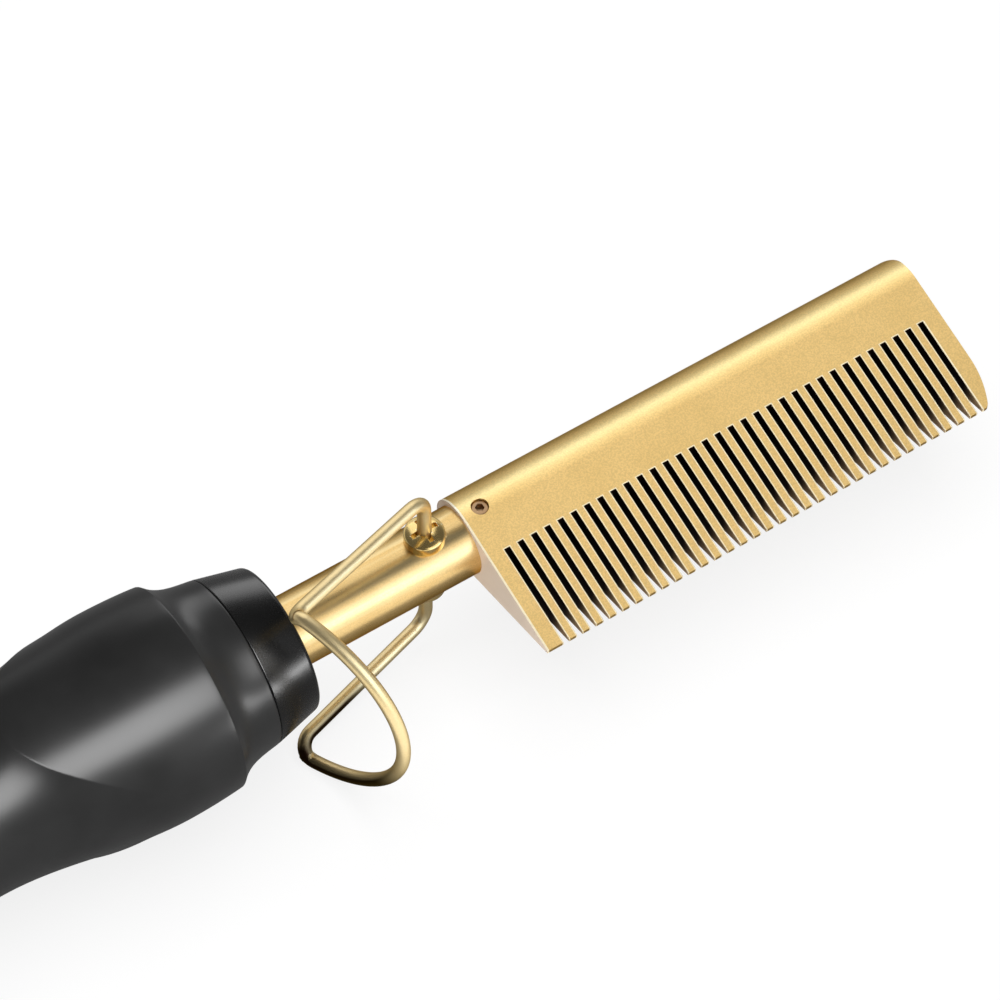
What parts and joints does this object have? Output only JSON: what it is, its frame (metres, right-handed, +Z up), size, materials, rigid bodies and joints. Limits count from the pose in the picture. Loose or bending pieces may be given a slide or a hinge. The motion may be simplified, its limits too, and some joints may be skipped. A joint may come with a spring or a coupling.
{
  "type": "electric hot comb",
  "caption": "Electric hot comb: wedge shaped comb head on a barrel, folding wire stand, round handle with push buttons and a turning cord outlet.",
  "frame": {"origin": "centre of the bounding box in X and Y, on the surface that the part lies on", "axes": "+X along the barrel towards the comb's far end, -Y towards the tips of the teeth, +Z up with the part lying on its side"},
  "size_m": [0.2926, 0.0563, 0.0534],
  "materials": {
    "satin_gold": "gold anodised, fine blasted grain",
    "plated_gold": "gold plated, polished",
    "black_plastic": "smooth black, satin to gloss",
    "steel": "zinc plated",
    "alloy": "plain",
    "ceramic": "sintered white ceramic",
    "mica": "layered mica sheet",
    "brass": "rolled strip",
    "block_plastic": "moulded, heat resistant",
    "white_lead": "glass fibre and silicone sleeve",
    "brown_lead": "silicone sleeve",
    "board": "solder mask over glass cloth",
    "green_plastic": "moulded",
    "black_resin": "moulded resin",
    "yellow_film": "moulded case",
    "brown_lacquer": "lacquered",
    "led_resin": "clear resin",
    "clear_plastic": "clear plastic",
    "panel_plastic": "fine texture",
    "button_plastic": "fine texture"
  },
  "bodies": {
    "main": {"comb_head": "satin_gold", "head_set_screw": "steel", "barrel_tube": "satin_gold", "pivot_screws": "plated_gold", "heater_rod": "ceramic", "mica_sleeve": "mica", "heat_spreader": "alloy", "temperature_sensor": "ceramic", "thermal_fuse": "steel", "heater_leads": "white_lead", "sensor_leads": "white_lead", "barrel_bush": "ceramic", "bush_set_screw": "steel", "barrel_circlip": "steel", "collar_ring": "black_plastic", "handle_shell": "black_plastic", "back_cover": "black_plastic", "cover_screws": "steel", "tail_ring": "black_plastic", "contact_block": "block_plastic", "contact_leaves": "brass", "mains_leads": "brown_lead", "circuit_board": "board", "board_screws": "steel", "terminal_blocks": "green_plastic", "triac": "black_resin", "film_capacitor": "yellow_film", "fusible_resistor": "brown_lacquer", "controller_chip": "black_resin", "touch_switches": "black_resin", "level_leds": "led_resin", "light_guide": "clear_plastic", "control_panel": "panel_plastic"},
    "stand": {"stand_wire": "plated_gold"},
    "power_key": {"power_button": "button_plastic"},
    "heat_down_key": {"heat_down_button": "button_plastic"},
    "heat_up_key": {"heat_up_button": "button_plastic"},
    "cord_outlet": {"swivel_core": "black_plastic", "gland_cap": "black_plastic", "slip_rings": "brass"}
  },
  "joints": [
    {"name": "stand_pivot", "type": "hinge", "parent": "main", "child": "stand", "pos_m": [0.03333, 0.00652, 0.02671], "axis": [0, 0, 1], "range_deg": [-25, 74]},
    {"name": "power_press", "type": "slide", "parent": "main", "child": "power_key", "axis": [0, 0, 1], "range_m": [-0.0006, 0], "stiffness_N_per_m": 1500},
    {"name": "heat_down_press", "type": "slide", "parent": "main", "child": "heat_down_key", "axis": [0, 0, 1], "range_m": [-0.0006, 0], "stiffness_N_per_m": 1500},
    {"name": "heat_up_press", "type": "slide", "parent": "main", "child": "heat_up_key", "axis": [0, 0, 1], "range_m": [-0.0006, 0], "stiffness_N_per_m": 1500},
    {"name": "cord_swivel", "type": "hinge", "parent": "main", "child": "cord_outlet", "pos_m": [-0.13232, 0.00652, 0.02671], "axis": [1, 0, 0], "continuous": true}
  ]
}
